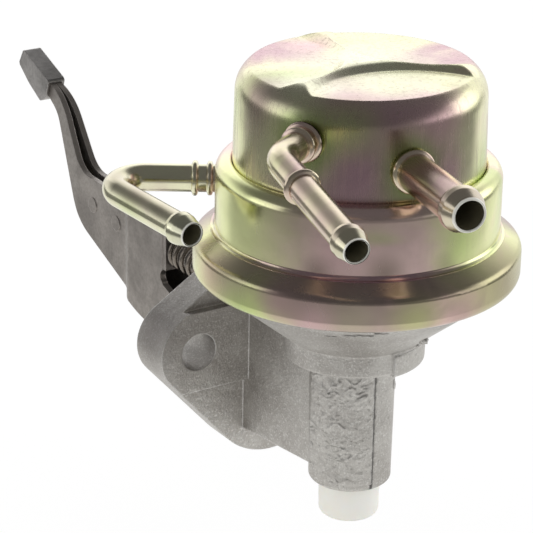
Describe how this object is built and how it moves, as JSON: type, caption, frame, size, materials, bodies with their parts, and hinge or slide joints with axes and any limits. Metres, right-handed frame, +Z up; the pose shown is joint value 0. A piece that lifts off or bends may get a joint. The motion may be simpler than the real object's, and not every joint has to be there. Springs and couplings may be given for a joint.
{
  "type": "mechanical fuel pump",
  "caption": "Flange-mounted diaphragm fuel pump with a crimped steel dome, hose pipes, cast lower body and a long cranked rocker arm.",
  "frame": {"origin": "middle of the mounting face, halfway between the two bolt holes", "axes": "+X along the two bolt holes, +Y out of the mounting face into the engine, +Z up along the pump axis"},
  "size_m": [0.081, 0.2105, 0.1047],
  "materials": {
    "cast_aluminium": "as-cast, fine grain",
    "chromated_steel": "yellow zinc chromate, glossy",
    "plated_inner_steel": "bright zinc",
    "arm_steel": "dull, oiled",
    "pad_steel": "hardened, dull",
    "ground_steel": "ground",
    "spring_steel": "dark drawn wire",
    "plug_plastic": "natural nylon",
    "black_rubber": "matt",
    "gasket_fibre": "matt fibre"
  },
  "bodies": {
    "housing": {"lower_body": "cast_aluminium", "stem_plug": "plug_plastic", "crimp_ring": "chromated_steel", "upper_shell": "chromated_steel", "top_cover": "chromated_steel", "inlet_pipe": "chromated_steel", "outlet_pipe": "chromated_steel", "return_pipe": "chromated_steel", "valve_plate": "plated_inner_steel", "inlet_cup": "plated_inner_steel", "inlet_valve_post": "plated_inner_steel", "outlet_valve_post": "plated_inner_steel", "cover_gasket": "gasket_fibre", "rod_seal": "black_rubber", "seal_retainer": "plated_inner_steel", "pivot_pin": "ground_steel", "diaphragm": "black_rubber", "diaphragm_spring": "spring_steel", "inlet_valve_spring": "spring_steel", "outlet_valve_spring": "spring_steel", "return_spring": "spring_steel"},
    "arm": {"rocker_arm": "arm_steel", "cam_pad": "pad_steel"},
    "link": {"rod_link": "arm_steel"},
    "rod": {"pull_rod": "ground_steel", "upper_backing_plate": "plated_inner_steel", "lower_backing_plate": "plated_inner_steel"},
    "inlet_valve": {"inlet_valve_disc": "black_rubber"},
    "outlet_valve": {"outlet_valve_disc": "black_rubber"}
  },
  "joints": [
    {"name": "arm_swing", "type": "hinge", "parent": "housing", "child": "arm", "pos_m": [0, -0.0042, -0.0122], "axis": [1, 0, 0], "range_deg": [0, 4.5], "stiffness_Nm_per_rad": 0.9, "springref_deg": -28.65, "deforming": ["return_spring"]},
    {"name": "link_swing", "type": "hinge", "parent": "housing", "child": "link", "pos_m": [0, -0.0042, -0.0122], "axis": [1, 0, 0], "range_deg": [0, 4.5]},
    {"name": "rod_stroke", "type": "slide", "parent": "housing", "child": "rod", "axis": [0, 0, 1], "range_m": [-0.003, 0], "deforming": ["diaphragm", "diaphragm_spring"]},
    {"name": "inlet_valve_lift", "type": "slide", "parent": "housing", "child": "inlet_valve", "axis": [0, 0, -1], "range_m": [0, 0.0016], "stiffness_N_per_m": 60, "springref_m": -0.002, "deforming": ["inlet_valve_spring"]},
    {"name": "outlet_valve_lift", "type": "slide", "parent": "housing", "child": "outlet_valve", "axis": [0, 0, 1], "range_m": [0, 0.0016], "stiffness_N_per_m": 60, "springref_m": -0.002, "deforming": ["outlet_valve_spring"]}
  ],
  "couplings": [
    {"joint": "link_swing", "follows": "arm_swing", "ratio": 1},
    {"joint": "rod_stroke", "follows": "arm_swing", "m_per_rad": -0.0363}
  ]
}
